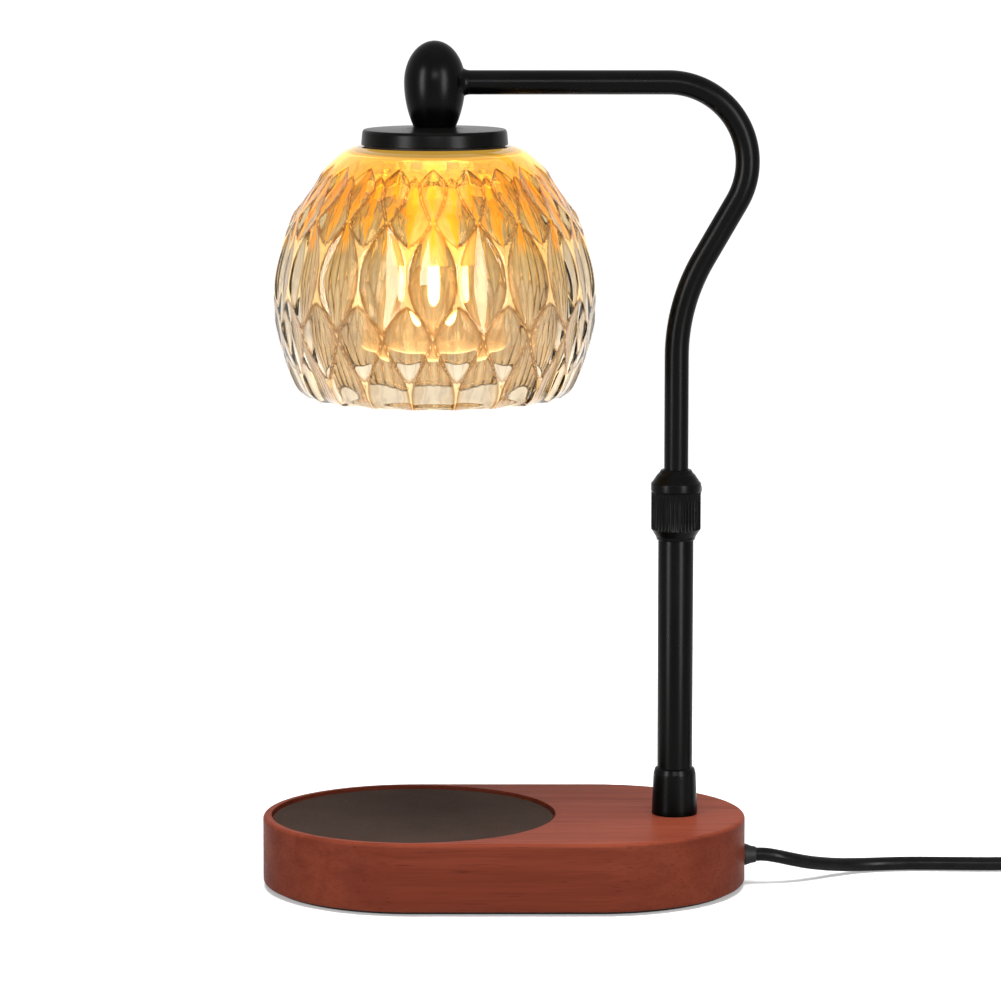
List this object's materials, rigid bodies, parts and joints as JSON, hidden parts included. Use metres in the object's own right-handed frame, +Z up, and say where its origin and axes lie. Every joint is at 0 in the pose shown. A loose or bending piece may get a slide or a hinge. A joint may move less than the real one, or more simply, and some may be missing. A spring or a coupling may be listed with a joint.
{
  "type": "candle warmer lamp",
  "caption": "Table lamp that warms a jar candle from above: oval wooden base, telescopic post, swinging arm, cut glass shade, spot bulb and a cord with a dimmer.",
  "frame": {"origin": "Centre of the flat underside of the base, on the surface that the lamp stands on.", "axes": "+Z up, +X along the base towards the post and the cord, +Y to the back."},
  "size_m": [0.387, 0.1542, 0.2882],
  "materials": {
    "wood": "satin reddish brown, fine straight grain",
    "pad": "dark brown, matt",
    "foam": "matt black foam",
    "cover": "matt",
    "zinc": "zinc plated",
    "steel": "bare rolled steel",
    "black_metal": "satin black coat",
    "nylon": "natural nylon",
    "black_rubber": "smooth soft black",
    "black_plastic": "moulded, satin",
    "board": "circuit board",
    "brass": "drawn brass",
    "shade_glass": "amber tinted cut glass",
    "ceramic": "glazed cream",
    "bulb_glass": "clear, silvered behind"
  },
  "bodies": {
    "base": {"base_body": "wood", "candle_pad": "pad", "underside_pad": "foam", "bottom_cover": "cover", "cover_screws": "zinc", "ballast_plate": "steel", "ballast_screws": "zinc", "post_stud": "zinc", "stud_washer": "zinc", "stud_nut": "zinc", "post_ferrule": "black_metal", "post_tube": "black_metal", "height_collar": "black_metal", "collar_bush": "nylon", "cord_sleeve": "black_rubber", "cord_clamp": "black_plastic", "clamp_screws": "zinc", "base_lead": "black_rubber", "lamp_cord": "black_rubber", "switch_lower": "black_plastic", "switch_upper": "black_plastic", "switch_screws": "zinc", "switch_sleeves": "black_rubber", "dimmer_board": "board", "link_cord": "black_rubber", "cord_coil": "black_rubber", "tail_cord": "black_rubber", "plug_sleeve": "black_rubber", "plug_body": "black_plastic", "plug_blades": "brass"},
    "slider": {"slide_bush": "brass"},
    "arm": {"arm_tube": "black_metal", "bush_rings": "zinc", "finial": "black_metal", "cap_stud": "zinc", "cap_nut": "zinc", "shade_cap": "black_metal", "shade_seal": "black_rubber", "shade_glass": "shade_glass", "shade_plate": "zinc", "holder_bracket": "zinc", "holder_screws": "zinc", "lampholder": "ceramic", "arm_lead": "black_rubber"},
    "bulb": {"bulb_reflector": "bulb_glass", "bulb_lens": "bulb_glass", "bulb_base": "ceramic", "bulb_pins": "zinc", "bulb_capsule": "bulb_glass"},
    "tip": {"lock_tip": "nylon"},
    "thumbscrew": {"lock_screw": "black_metal"},
    "dimmer": {"dimmer_knob": "black_plastic"}
  },
  "joints": [
    {"name": "arm_height", "type": "slide", "parent": "base", "child": "slider", "axis": [0, 0, 1], "range_m": [-0.03, 0.045]},
    {"name": "arm_swing", "type": "hinge", "parent": "slider", "child": "arm", "pos_m": [0.0584, 0, 0.14], "axis": [0, 0, 1], "range_deg": [-170, 170]},
    {"name": "lock_feed", "type": "slide", "parent": "base", "child": "tip", "axis": [0.342, 0.9397, 0], "range_m": [0, 0.0014]},
    {"name": "lock_turn", "type": "hinge", "parent": "tip", "child": "thumbscrew", "pos_m": [0.0584, 0, 0.1345], "axis": [0.342, 0.9397, 0], "range_deg": [0, 720]},
    {"name": "dimmer_turn", "type": "hinge", "parent": "base", "child": "dimmer", "pos_m": [0.235, 0.02, 0.019], "axis": [0, 0, 1], "range_deg": [0, 270]},
    {"name": "bulb_twist", "type": "hinge", "parent": "arm", "child": "bulb", "pos_m": [-0.0233, 0, 0.229], "axis": [0, 0, 1], "range_deg": [-20, 0]}
  ],
  "couplings": [
    {"joint": "lock_turn", "follows": "lock_feed", "rad_per_m": 8976}
  ]
}
